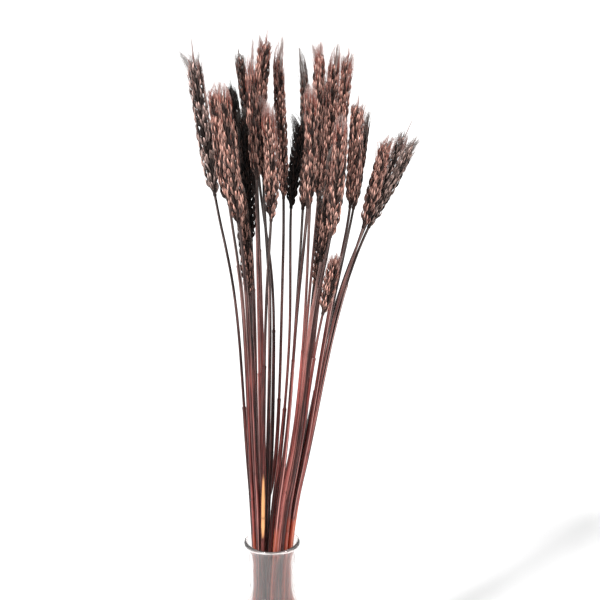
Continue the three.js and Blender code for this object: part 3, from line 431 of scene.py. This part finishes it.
def make_straw(row, index):
    name, tone, foot, top, half, awn, flat = row
    rng = np.random.default_rng(500 + index)
    ax = Axis(flat)
    sheath = rng.uniform(325, 405)
    if name in ("10", "13", "01"):
        sheath = rng.uniform(300, 330)
    sheath = min(sheath, foot - 60)
    full = 1.42
    if name in LONG_SHEATH:
        sheath, full = foot - LONG_SHEATH[name], 1.61
    joints = [rng.uniform(70, 130), rng.uniform(215, 285)]
    step = 4.0
    zs = [10.3, 10.7]
    z = 13.0
    while z < foot - 1:
        zs.append(z)
        z += step
    for j in joints:
        zs += list(j + np.array([-2.4, -1.5, -0.8, -0.2, 0.4, 1.1, 2.0, 3.0]))
    zs += list(sheath + np.array([-3.0, -1.2, -0.2, 0.15, 0.6, 1.6]))
    zs += [foot - 1.0, foot + 0.5, foot + 2.0]
    zs = np.array(sorted(z for z in zs if z <= foot + 2.0))
    zs = zs[np.concatenate([[True], np.diff(zs) > 0.12])]
    n, m = len(zs), 16
    c = ax(zs)
    t = ax.tangent(zs)
    sx = unit(np.cross(np.array([0.0, 1.0, 0.0])[None], t))
    sy = np.cross(t, sx)
    r = straw_radius(zs)
    thin = 1.12 + rng.uniform(-0.06, 0.1)
    over = np.clip((zs - sheath) / 0.6, 0, 1)
    bare = np.minimum(r, thin + 0.12 * np.clip((foot - zs) / 150, 0, 1))
    r = np.maximum(r, full) * (1 - over) + bare * over
    r = r * (1 + STOUT.get(name, 0.0) * np.clip((340 - zs) / 60, 0, 1))
    r = r + 0.16 * np.exp(-(((zs - sheath + 0.8) / 1.0) ** 2)) * (zs < sheath + 0.2)
    dark = np.exp(-(((zs - sheath) / 1.2) ** 2)) * 0.6
    for j in joints:
        r = r + 0.1 * np.exp(-(((zs - j) / 1.1) ** 2)) - 0.07 * np.exp(-(((zs - j - 2.4) / 0.9) ** 2))
        dark = dark + np.exp(-(((zs - j) / 1.5) ** 2))
    r[0] *= 0.9
    th = 2 * np.pi * np.arange(m) / m
    seam = rng.uniform(0, 6.28)
    wob = rng.uniform(0.006, 0.014)
    ring = np.ones((n, m))
    # the sheath's overlapping edge, a shallow ridge that creeps round the straw, and faint ribs
    edge = seam + 0.9 * np.sin(zs / 120 + seam)[:, None]
    dth = np.angle(np.exp(1j * (th[None] - edge)))
    ring += 0.06 * np.exp(-((dth / 0.32) ** 2)) * (1 - over)[:, None]
    ring += 0.012 * np.cos(5 * th[None] + zs[:, None] * 0.03)
    ring += wob * np.sin(zs[:, None] * 0.31 + th[None] * 2)
    rr = (r[:, None] * ring)[..., None]
    P = c[:, None] + sx[:, None] * np.cos(th)[None, :, None] * rr + sy[:, None] * np.sin(th)[None, :, None] * rr
    fib = np.stack([np.cos(th)[None] * 1.6 + 0 * zs[:, None] + index * 7.3, np.sin(th)[None] * 1.6 + 0 * zs[:, None], zs[:, None] + 0 * th[None]], -1)
    s = Soup()
    rnd = (index * 0.618034 + 0.21) % 1.0
    blend = np.clip((zs - sheath) / 14, 0, 1) * 0.12 + 0.88 * np.clip((zs - 345 - rng.uniform(-30, 30)) / 150, 0, 1)
    s.bodies(P[None], c[:1], c[-1:], np.array([rnd]), blend, 0, fib[None])
    per_part = np.concatenate([np.repeat(np.clip(dark, 0, 1), m), [0, 0]])
    s.attr["part"] = [per_part]
    # the pale margin lines that the straw material reads, partly painted highlight lines
    rim = np.exp(-((dth / 0.3) ** 2)) + 0.8 * np.exp(-((np.angle(np.exp(1j * (th[None] - edge - 2.4))) / 0.26) ** 2))
    s.attr["edge"] = [np.concatenate([(np.clip(rim, 0, 1) * (1 - 0.6 * over)[:, None]).ravel(), [0, 0]])]
    for key, table in (("gold", GOLD), ("rust", RUST)):
        top_z, most = table.get(name, (0.0, 0.0))
        g = most * np.clip((top_z - zs) / 6.0, 0, 1)[:, None] * np.ones((1, m))
        if key == "gold":
            front = -(sx[:, None, 1] * np.cos(th)[None] + sy[:, None, 1] * np.sin(th)[None])
            ends = np.clip(np.maximum((zs - top_z + 30) / 30, (222 - zs) / 12), 0, 1)[:, None]
            g = g * np.clip((front - 0.42 - 0.5 * ends) / 0.22, 0, 1) * np.clip((zs - 209) / 4, 0, 1)[:, None]
        s.attr[key] = [np.concatenate([g.ravel(), [g[0, 0], g[-1, 0]]])]
    ob = s.make("straw_" + name, STRAW)
    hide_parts("stem_" + name)
    return ob


LONG_SHEATH = {"02": 52.0, "03": 44.0, "04": 40.0, "05": 46.0, "06": 42.0, "08": 60.0, "12": 75.0, "18": 58.0, "19": 44.0, "20": 40.0, "21": 70.0, "24": 50.0, "26": 40.0}  # how far below the ear it ends
STOUT = {"09": 0.02, "13": 0.07}
GOLD = {"11": (272.0, 0.97)}  # height up to which it shows, how strongly; it starts a little above the lip
RUST = {"21": (226.0, 0.9), "26": (232.0, 0.6), "23": (236.0, 0.75), "24": (220.0, 0.7), "16": (222.0, 0.5), "02": (214.0, 0.4)}

# ---------------------------------------------------------------- ears
# how much paler or darker the husks are at the ear's foot and at its top
GRAD = {"01": (0.18, -0.08), "09": (0.25, -0.15), "10": (0.12, 0.08), "11": (0.12, 0.1), "12": (0.12, 0.12), "15": (0.05, 0.1), "17": (-0.12, 0.2), "18": (0.15, 0.05), "19": (0.1, 0.05), "20": (0.1, 0.1), "21": (0.12, 0.05), "22": (0.2, 0.2), "23": (0.28, 0.08), "24": (0.22, 0.12), "25": (0.22, 0.22), "26": (0.1, -0.05)}


def ear_scale(u):
    return np.interp(u, [0, 0.04, 0.12, 0.25, 0.5, 0.75, 0.9, 1.0], [0.6, 0.78, 0.94, 1.0, 1.0, 0.93, 0.84, 0.72])


FL_U = np.array([0.0, 0.07, 0.22, 0.42, 0.62, 0.8, 0.92, 1.0])
FL_W = np.array([0.34, 0.62, 0.9, 1.0, 0.9, 0.62, 0.32, 0.07])


def florets(s, B, D, W, O, L, w, t, bend, rnd, part, m=8, us=FL_U, ws=FL_W):
    """Pointed, keeled boats. B foot, D along, W across, O outward (all (N,3)); L, w, t, bend (N,)."""
    n = len(us)
    th = 2 * np.pi * np.arange(m) / m
    u = us[None, :, None, None]
    c = B[:, None, None] + D[:, None, None] * L[:, None, None, None] * u + O[:, None, None] * (
        bend[:, None, None, None] * L[:, None, None, None] * (0.16 * np.sin(np.pi * u) - 0.10 * u**2)
    )
    cw = np.cos(th)[None, None, :, None]
    sw = np.sin(th)
    keel = np.where(sw > 0, sw * (1 + 0.25 * sw**6), 0.72 * sw)[None, None, :, None]
    hw = (ws[None, :] * w[:, None] / 2)[..., None, None]
    ht = (np.sqrt(ws)[None, :] * ws[None, :] ** 0.4 * t[:, None] / 2)[..., None, None]
    P = c + W[:, None, None] * cw * hw + O[:, None, None] * keel * ht
    off = rnd[:, None, None] * 37.0
    fib = np.stack(
        [
            (cw[..., 0] * hw[..., 0]) * 1.0 + off,
            (keel[..., 0] * ht[..., 0]) * 1.0 + 0 * off,
            L[:, None, None] * us[None, :, None] + 0 * cw[..., 0] + off * 3,
        ],
        -1,
    )
    foot = c[:, 0, 0]
    head = c[:, -1, 0] + D * 0.15
    s.bodies(P, foot, head, rnd, us, part, fib, np.abs(np.cos(th)))
    return head


def awns(s, B, D, C, L, r0, rnd, part=3):
    """Thin tapering bristles from B along D, curving towards C."""
    vs = np.array([0.0, 0.12, 0.28, 0.46, 0.64, 0.82, 1.0])
    m = 3
    side = unit(np.cross(D, np.array([0.3, 0.2, 0.93])[None]))
    up2 = np.cross(D, side)
    c = B[:, None] + D[:, None] * (L[:, None] * vs[None])[..., None] + C[:, None] * (L[:, None] * vs[None] ** 2)[..., None]
    rr = r0[:, None] * np.interp(vs, [0, 0.3, 1.0], [1.0, 0.78, 0.16])[None]
    th = 2 * np.pi * np.arange(m) / m
    P = c[:, :, None] + (side[:, None, None] * np.cos(th)[None, None, :, None] + up2[:, None, None] * np.sin(th)[None, None, :, None]) * rr[:, :, None, None]
    fib = P * 1.0
    s.bodies(P, c[:, 0], c[:, -1] + D * 0.2, rnd, vs, part, fib, np.zeros(m))


def make_ear(row, index):
    name, tone, foot, top, half, awn, flat = row
    rng = np.random.default_rng(900 + index * 13)
    ax = Axis(flat)
    length = top - foot
    turn = TURN.get(name, rng.uniform(-0.55, 0.55))
    size = max(half, 4.6) / 6.3
    pitch = 3.7 * (0.6 + 0.4 * size)
    count = max(10, int(round(length / pitch)))
    k = np.arange(count)
    u = (k + 0.35) / (count + 0.6)
    z = foot + 0.5 + u * (length - 3.0)
    C = ax(z)
    U = ax.tangent(z)
    tw = turn + 0.35 * (u - 0.5) * rng.uniform(-1, 1) + rng.normal(0, 0.06, count)
    S = np.column_stack([np.cos(tw), np.sin(tw), 0 * tw])
    S = unit(S - (S * U).sum(1, keepdims=True) * U)
    F = np.cross(U, S)
    sgn = np.where(k % 2 == 0, 1.0, -1.0)[:, None]
    OUT = S * sgn
    sc = ear_scale(u) * size
    s = Soup()
    open_ = rng.uniform(0.88, 1.12)

    def put(lat, out0, rise, tilt_o, tilt_l, L, w, t, bend, part, rn, m=8, face=None):
        to = np.radians(tilt_o * open_ + rng.normal(0, 2.8, count))
        tl = np.radians(tilt_l + rng.normal(0, 3.2, count))
        D = unit(U + OUT * np.tan(to)[:, None] + F * np.tan(tl)[:, None])
        O = unit(OUT + F * (0.85 * np.sign(lat) if lat else 0.0) * (0.9 if part == 1 else 0.55))
        if face is not None:
            O = unit(OUT * (1 - face) + F * np.sign(lat) * face)
        O = unit(O - (O * D).sum(1, keepdims=True) * D)
        roll = rng.normal(0, 0.16, count)[:, None]
        W = np.cross(O, D)
        O2 = O * np.cos(roll) + W * np.sin(roll)
        W2 = np.cross(O2, D)
        B = C + OUT * (out0 * sc)[:, None] + F * (lat * sc)[:, None] + U * (rise * sc)[:, None]
        Ls = L * sc * rng.normal(1, 0.07, count)
        head = florets(s, B, D, W2, O2, Ls, w * sc, t * sc, np.full(count, bend), rn, part, m)
        return head, D, O2

    shade = np.clip(rng.normal(0.36, 0.14, count) + GRAD.get(name, (0, 0))[0] * (1 - u) + GRAD.get(name, (0, 0))[1] * u, 0, 1)
    # some husks took the dye almost black
    jit = lambda: np.where(rng.uniform(0, 1, count) < 0.22, 0.02, np.clip(shade + rng.normal(0.05, 0.32, count), 0, 1))
    heads = []
    for lat in (-1.0, 1.0):
        heads.append(put(2.0 * lat, 1.0, -1.2, 17.0, 12.0 * lat, 8.6, 2.1, 1.6, 0.8, 1, jit(), 8))
    for lat in (-1.0, 1.0):
        heads.append(put(1.6 * lat, 1.5, 0.2, 18.0, 9.5 * lat, 11.4, 2.0, 2.0, 0.9, 2, jit(), 8))
    for lat in (-1.0, 1.0):
        heads.append(put(0.8 * lat, 2.1, 1.4, 21.0, 4.5 * lat, 10.8, 1.8, 1.9, 0.9, 2, jit(), 8))
    heads.append(put(0.0, 2.3, 2.7, 24.0, 0.0, 9.2, 1.7, 1.8, 0.9, 2, jit(), 8))
    # outer scales that lap over the middle between the two rows
    for lat in (-1.0, 1.0):
        put(2.45 * lat, 0.5, -0.6, 9.0, 4.0 * lat, 8.8, 2.3, 1.5, 0.7, 2, jit(), 6, 0.8)
    # the paler inner scales that close the middle of each spikelet
    put(0.0, 1.3, 0.6, 8.0, 0.0, 8.4, 3.0, 2.4, 0.4, 2, np.clip(jit() - 0.4, 0, 1), 6)
    # bristles: they leave each husk a little outwards, run up close to the ear and gather into a few pointed brushes over its tip
    crown = ax(top)[0]
    rise = ax.tangent(top - 2)[0]
    brushes = [
        crown + np.array([dx, rng.normal(0, 0.6), up_ * 1.25])
        for dx, up_ in PRONGS.get(name, ((rng.uniform(-1.5, 1.5), awn * 0.8), (rng.uniform(-3, 3), awn * 0.55)))
    ]
    brushes = np.array(brushes)

    def hair(head, D, share, thick, out):
        pick = brushes[rng.integers(0, len(brushes), count)]
        gap = pick - head
        far = np.linalg.norm(gap, axis=1)
        reach = (9.0 + 9.0 * u) * share * np.clip(rng.normal(1.0, 0.25, count), 0.4, 1.5)
        near = far < (10.0 + 20.0 * u**2) * (0.8 + awn / 50)
        reach = np.where(near, far * np.clip(rng.normal(0.95, 0.08, count), 0.6, 1.04), reach)
        reach = np.clip(reach, 2.5, 44.0)
        # the lower ones stay along the ear, the upper ones close in
        aim = unit(gap + OUT * ((1 - u) * 30.0 * out)[:, None] + F * rng.normal(0, 1.6, count)[:, None])
        d = unit(D * 0.62 + U * 0.72 + OUT * rng.normal(0.03, 0.04, count)[:, None] + F * rng.normal(0, 0.06, count)[:, None])
        awns(s, head, d, aim - d, reach, thick * (0.8 + 0.2 * size) * np.clip(rng.normal(1, 0.12, count), 0.7, 1.3), np.clip(rng.normal(0.5, 0.24, count), 0, 1))

    for h, (head, D, O) in enumerate(heads):
        hair(head - D * 0.6, D, 0.5 if h < 2 else 1.0, 0.17, 0.35)
        for again in range(2 if h > 1 else 1):
            up_half = u > 0.55 + 0.15 * again
            hair(head - D * (1.6 + again), unit(D + F * rng.normal(0, 0.08, count)[:, None]), np.where(up_half, 1.0, 0.3), np.where(up_half, 0.19, 0.1), 0.5)
    # the tufts that stand up over the tip
    for q, tip in enumerate(brushes):
        n = 24 if name in PRONGS else 8
        zt = top - rng.uniform(1.0, 15.0, n)
        ct, ut = ax(zt), ax.tangent(zt)
        lean = (tip - crown) * np.array([1.0, 1.0, 0.0])
        way = lean / (np.linalg.norm(lean) + 1e-6)
        spin = rng.uniform(0, 2 * math.pi, n)
        ring = np.column_stack([np.cos(spin), np.sin(spin), 0 * spin])
        B = ct + (ring * 1.9 + way * 1.6 * min(1.0, np.linalg.norm(lean) / 4)) * size * 0.9
        end = tip + rng.normal(0, 0.45, (n, 3)) - ut * (rng.uniform(0, 1, n) ** 2 * 6.0)[:, None]
        gap = end - B
        far = np.linalg.norm(gap, axis=1)
        d = unit(gap + ut * far[:, None] * 0.55 + ring * far[:, None] * 0.05)
        awns(s, B, d, gap / far[:, None] - d, far, 0.24 * np.clip(rng.normal(1, 0.12, n), 0.75, 1.3), rng.uniform(0, 1, n), 4)
    # the last spikelet points straight up, turned a quarter round
    c = ax(top - 5.5 * size)
    up = ax.tangent(top - 2)
    s0 = unit(np.cross(up, S[-1:]))
    f0 = np.cross(up, s0)
    for q, (a, tilt, L) in enumerate(((-1, 14, 9.0), (1, 14, 9.0), (0, 0, 10.0), (-0.5, 7, 9.6), (0.5, 7, 9.6))):
        D = unit(up + s0 * math.tan(math.radians(tilt)) * np.sign(a))
        O = unit(s0 * (a if a else 0.0) + f0 * (0.4 if a else 1.0))
        O = unit(O - (O * D).sum(1, keepdims=True) * D)
        one = np.ones(1)
        sz = size * 0.8
        head = florets(s, c + s0 * a * 0.8 * sz + up * (1.2 if a == 0 else 0) * sz, D, np.cross(O, D), O, one * L * sz, one * 2.7 * sz, one * 2.4 * sz, one, rng.uniform(0.2, 0.8, 1), 2)
        for extra in range(2):
            awns(s, head - D * 0.5, unit(D * 0.5 + up + s0 * rng.normal(0, 0.03) + f0 * rng.normal(0, 0.04)), s0 * rng.normal(0, 0.05), one * max(2.0, awn * rng.uniform(0.5, 0.95)), one * 0.19, rng.uniform(0.2, 0.9, 1))
    # rachis, a little zigzag, down to a collar over the straw's tip
    zz = np.concatenate([[foot - 1.6, foot - 1.2, foot - 0.4, foot + 0.5], np.arange(foot + 2.0, top - 2.5, 1.9)])
    cc = ax(zz)
    tt = ax.tangent(zz)
    s1 = np.column_stack([np.full(len(zz), math.cos(turn)), np.full(len(zz), math.sin(turn)), np.zeros(len(zz))])
    s1 = unit(s1 - (s1 * tt).sum(1, keepdims=True) * tt)
    f1 = np.cross(tt, s1)
    zig = 0.35 * np.sin(np.pi * (zz - foot) / pitch) * (zz > foot + 2)
    cc = cc + s1 * zig[:, None]
    r = np.interp(zz - foot, [-1.6, -1.2, -0.4, 0.5, 2, 5, 10, length - 12, length], [1.2, 1.42, 1.55, 1.5, 1.5, 2.4, 3.1, 2.9, 1.6])
    r = np.where(zz > foot + 4, r * (0.5 + 0.5 * size), r)
    m = 8
    th = 2 * np.pi * np.arange(m) / m
    P = cc[:, None] + (s1[:, None] * np.cos(th)[None, :, None] * 1.0 + f1[:, None] * np.sin(th)[None, :, None] * np.where(zz > foot + 4, 0.66, 1.0)[:, None, None]) * r[:, None, None]
    s.bodies(P[None], cc[:1], cc[-1:], np.array([0.06]), np.full(len(zz), 0.08), 0, P[None], np.zeros(m))
    ob = s.make("wheat_ear_" + name, MATS[tone])
    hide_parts("ear_" + name)
    return ob


# where the bristles of some ears gather: mm to the side of the tip, mm above it
PRONGS = {
    "01": ((-11.5, 8.5), (-9.5, 6.0), (3.8, 8.0), (0.5, 3.0)), "02": ((3.5, 9.0), (-5.0, 4.0)), "05": ((0.5, 3.0), (-2.0, 2.0)), "07": ((-1.5, 3.5), (2.5, 2.5)),
    "08": ((2.0, 24.0), (-1.0, 9.0)), "09": ((-4.0, 7.0), (1.0, 4.0), (5.0, 2.0)), "10": ((3.8, 16.0), (-1.5, 3.0)), "14": ((-4.0, 18.0), (0.5, 4.0)),
    "15": ((-6.0, 8.0), (0.6, 9.0)), "17": ((3.0, 14.5), (2.4, 8.0)), "18": ((-2.5, 6.0), (4.2, 7.0)), "21": ((5.0, 3.5), (-1.0, 2.0)), "22": ((2.5, 9.5), (0.5, 3.0)),
    "23": ((6.5, 6.5), (-3.0, 4.0)), "24": ((6.5, 5.0), (0.5, 2.5)), "25": ((1.0, 5.0), (-2.0, 4.0)), "13": ((-7.5, 8.5), (-4.0, 5.0)), "26": ((1.5, 4.0), (-2.5, 3.0)),
}
# how far some ears are turned on their straws, so that they show their two rows or their broad side
TURN = {"01": 0.1, "09": 0.5, "15": 1.0, "17": 0.3, "16": 0.6, "02": 0.9, "26": 0.5, "08": 1.2, "22": 1.3, "14": 0.9}


for i, row in enumerate(STALKS):
    make_straw(row, i)
    make_ear(row, i)

# ---------------------------------------------------------------- vase
H, BASE, BODY_R, NECK_R, NECK_IN, LIP_R, WALL = 200.0, 10.0, 43.5, 20.3, 18.0, 25.0, 2.9
NT, NB, SH = 190.0, 155.0, 95.0
OUTER = [
    (38.0, 0), (BODY_R - 2, 1.6), (BODY_R - 0.4, 5), (BODY_R, 12), (BODY_R, 40), (BODY_R, SH - 5), (BODY_R - 1.2, SH + 3),
    (BODY_R - 4.5, SH + 12), (BODY_R - 10, SH + 23), (BODY_R - 16, SH + 34), (NECK_R + 3, NB - 15), (NECK_R + 0.9, NB - 6),
    (NECK_R, NB + 3), (NECK_R, NT - 18), (NECK_R + 0.5, NT - 8), (NECK_R + 1.2, NT), (NECK_R + 2.3, NT + 4), (LIP_R - 0.6, H - 4), (LIP_R, H - 2.2),
    (LIP_R - 0.8, H - 0.5), (LIP_R - 2, H), (LIP_R - 3, H - 0.5), (NECK_IN + 3, H - 3), (NECK_IN + 1.3, NT), (NECK_IN + 0.5, NT - 8), (NECK_IN, NT - 16), (NECK_IN, NB + 2),
    (NECK_IN + 1.2, NB - 8), (NECK_IN + 4.2, NB - 17), (BODY_R - 18.5, SH + 32), (BODY_R - 12.6, SH + 21), (BODY_R - 7.2, SH + 10),
    (BODY_R - 4.1, SH + 1), (BODY_R - WALL, SH - 7), (BODY_R - WALL, 45), (BODY_R - WALL, BASE + 8), (BODY_R - WALL - 2.6, BASE + 2.2), (BODY_R - WALL - 8, BASE),
]


def smooth_profile(points, most=2.2):
    """A Hermite curve through the points, by chord length, with limited slopes so that straight runs stay straight."""
    p = np.array(points, float)
    h = np.linalg.norm(np.diff(p, axis=0), axis=1)
    d = np.diff(p, axis=0) / h[:, None]
    m = np.zeros_like(p)
    m[0], m[-1] = d[0], d[-1]
    for c in range(2):
        a, b = d[:-1, c], d[1:, c]
        w = (a * h[1:] + b * h[:-1]) / (h[1:] + h[:-1])
        same = a * b > 1e-9
        m[1:-1, c] = np.where(same, np.sign(w) * np.minimum(np.abs(w), 3 * np.minimum(np.abs(a), np.abs(b))), 0.0)
    out = []
    for k in range(len(h)):
        n = max(2, int(math.ceil(h[k] / most)))
        for j in range(n):
            t = j / n
            out.append(
                (2 * t**3 - 3 * t**2 + 1) * p[k] + (t**3 - 2 * t**2 + t) * h[k] * m[k]
                + (-2 * t**3 + 3 * t**2) * p[k + 1] + (t**3 - t**2) * h[k] * m[k + 1]
            )
    out.append(p[-1])
    return np.array(out)


def make_vase():
    prof = smooth_profile(OUTER)
    # flat bottom and inside floor, in rings
    floor_out = [(r, 0.0) for r in (6, 14, 22, 30)]
    floor_in = [(r, BASE) for r in (26, 18, 10, 4)]
    prof = np.array([*floor_out, *prof.tolist(), *floor_in])
    n, m = len(prof), 144
    th = 2 * np.pi * np.arange(m) / m
    P = np.stack([prof[:, :1] * np.cos(th)[None], prof[:, :1] * np.sin(th)[None], prof[:, 1:] + 0 * th[None]], -1)
    s = Soup()
    # rings run from the bottom's centre outwards, so the faces are turned by taking the rings the other way round
    s.bodies(P[None], np.array([[0, 0, 0.0]]), np.array([[0, 0, BASE]]), np.array([0.5]), np.linspace(0, 1, n), 0, P[None])
    ob = s.make("glass_vase", GLASS)
    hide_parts("vase")
    return ob


make_vase()

# ---------------------------------------------------------------- floor, light
def pale_material():
    m, nt, bsdf = new_material("pale_floor")
    obj = nt.nodes.new("ShaderNodeTexCoord").outputs["Object"]
    n = noise(nt, obj, 3.0, 2.0, 0.5)
    col = mix(nt, n, (0.90, 0.90, 0.90, 1.0), (0.93, 0.93, 0.93, 1.0))
    nt.links.new(col, bsdf.inputs["Base Color"])
    bsdf.inputs["Roughness"].default_value = 0.95
    bsdf.inputs["Specular IOR Level"].default_value = 0.1
    return m


me = bpy.data.meshes.new("floor")
R = 220.0
N = 64
vs = [(R * math.cos(2 * math.pi * k / N), R * math.sin(2 * math.pi * k / N), 0.0) for k in range(N)]
me.from_pydata(vs, [], [tuple(range(N))])
me.materials.append(pale_material())
floor = bpy.data.objects.new("floor", me)
bpy.context.scene.collection.objects.link(floor)

world = bpy.data.worlds.new("world")
bpy.context.scene.world = world
world.use_nodes = True
bg = world.node_tree.nodes.get("Background") or world.node_tree.nodes.new("ShaderNodeBackground")
bg.inputs[0].default_value = (1.0, 1.0, 1.0, 1.0)
# the studio's walls look white, and light the object softly
wt = world.node_tree
lp = wt.nodes.new("ShaderNodeLightPath")
wt.links.new(remap(wt, lp.outputs["Is Camera Ray"], 0.0, 1.0, 0.5, 1.05), bg.inputs[1])


def area(name, loc, target, size, power, colour=(1, 1, 1)):
    d = bpy.data.lights.new(name, "AREA")
    d.shape = "DISK"
    d.size = size
    d.energy = power
    d.color = colour
    o = bpy.data.objects.new(name, d)
    o.location = loc
    o.rotation_euler = (Vector(target) - Vector(loc)).to_track_quat("-Z", "Y").to_euler()
    bpy.context.scene.collection.objects.link(o)


def sun(name, azimuth, elevation, strength, spread):
    """azimuth 0 is the front, positive to the right"""
    d = bpy.data.lights.new(name, "SUN")
    d.energy = strength
    d.angle = math.radians(spread)
    o = bpy.data.objects.new(name, d)
    a, e = math.radians(azimuth), math.radians(elevation)
    at = Vector((math.sin(a) * math.cos(e), -math.cos(a) * math.cos(e), math.sin(e)))
    o.rotation_euler = (-at).to_track_quat("-Z", "Y").to_euler()
    bpy.context.scene.collection.objects.link(o)


sun("key", -42, 44, 3.5, 9)
sun("side", 62, 36, 1.5, 14)

scene = bpy.context.scene
scene.cycles.max_bounces = 24
scene.cycles.transmission_bounces = 24
scene.cycles.transparent_max_bounces = 16
scene.view_settings.view_transform = "Standard"
scene.view_settings.look = "None"
scene.view_settings.exposure = 0.0
scene.view_settings.gamma = 1.0
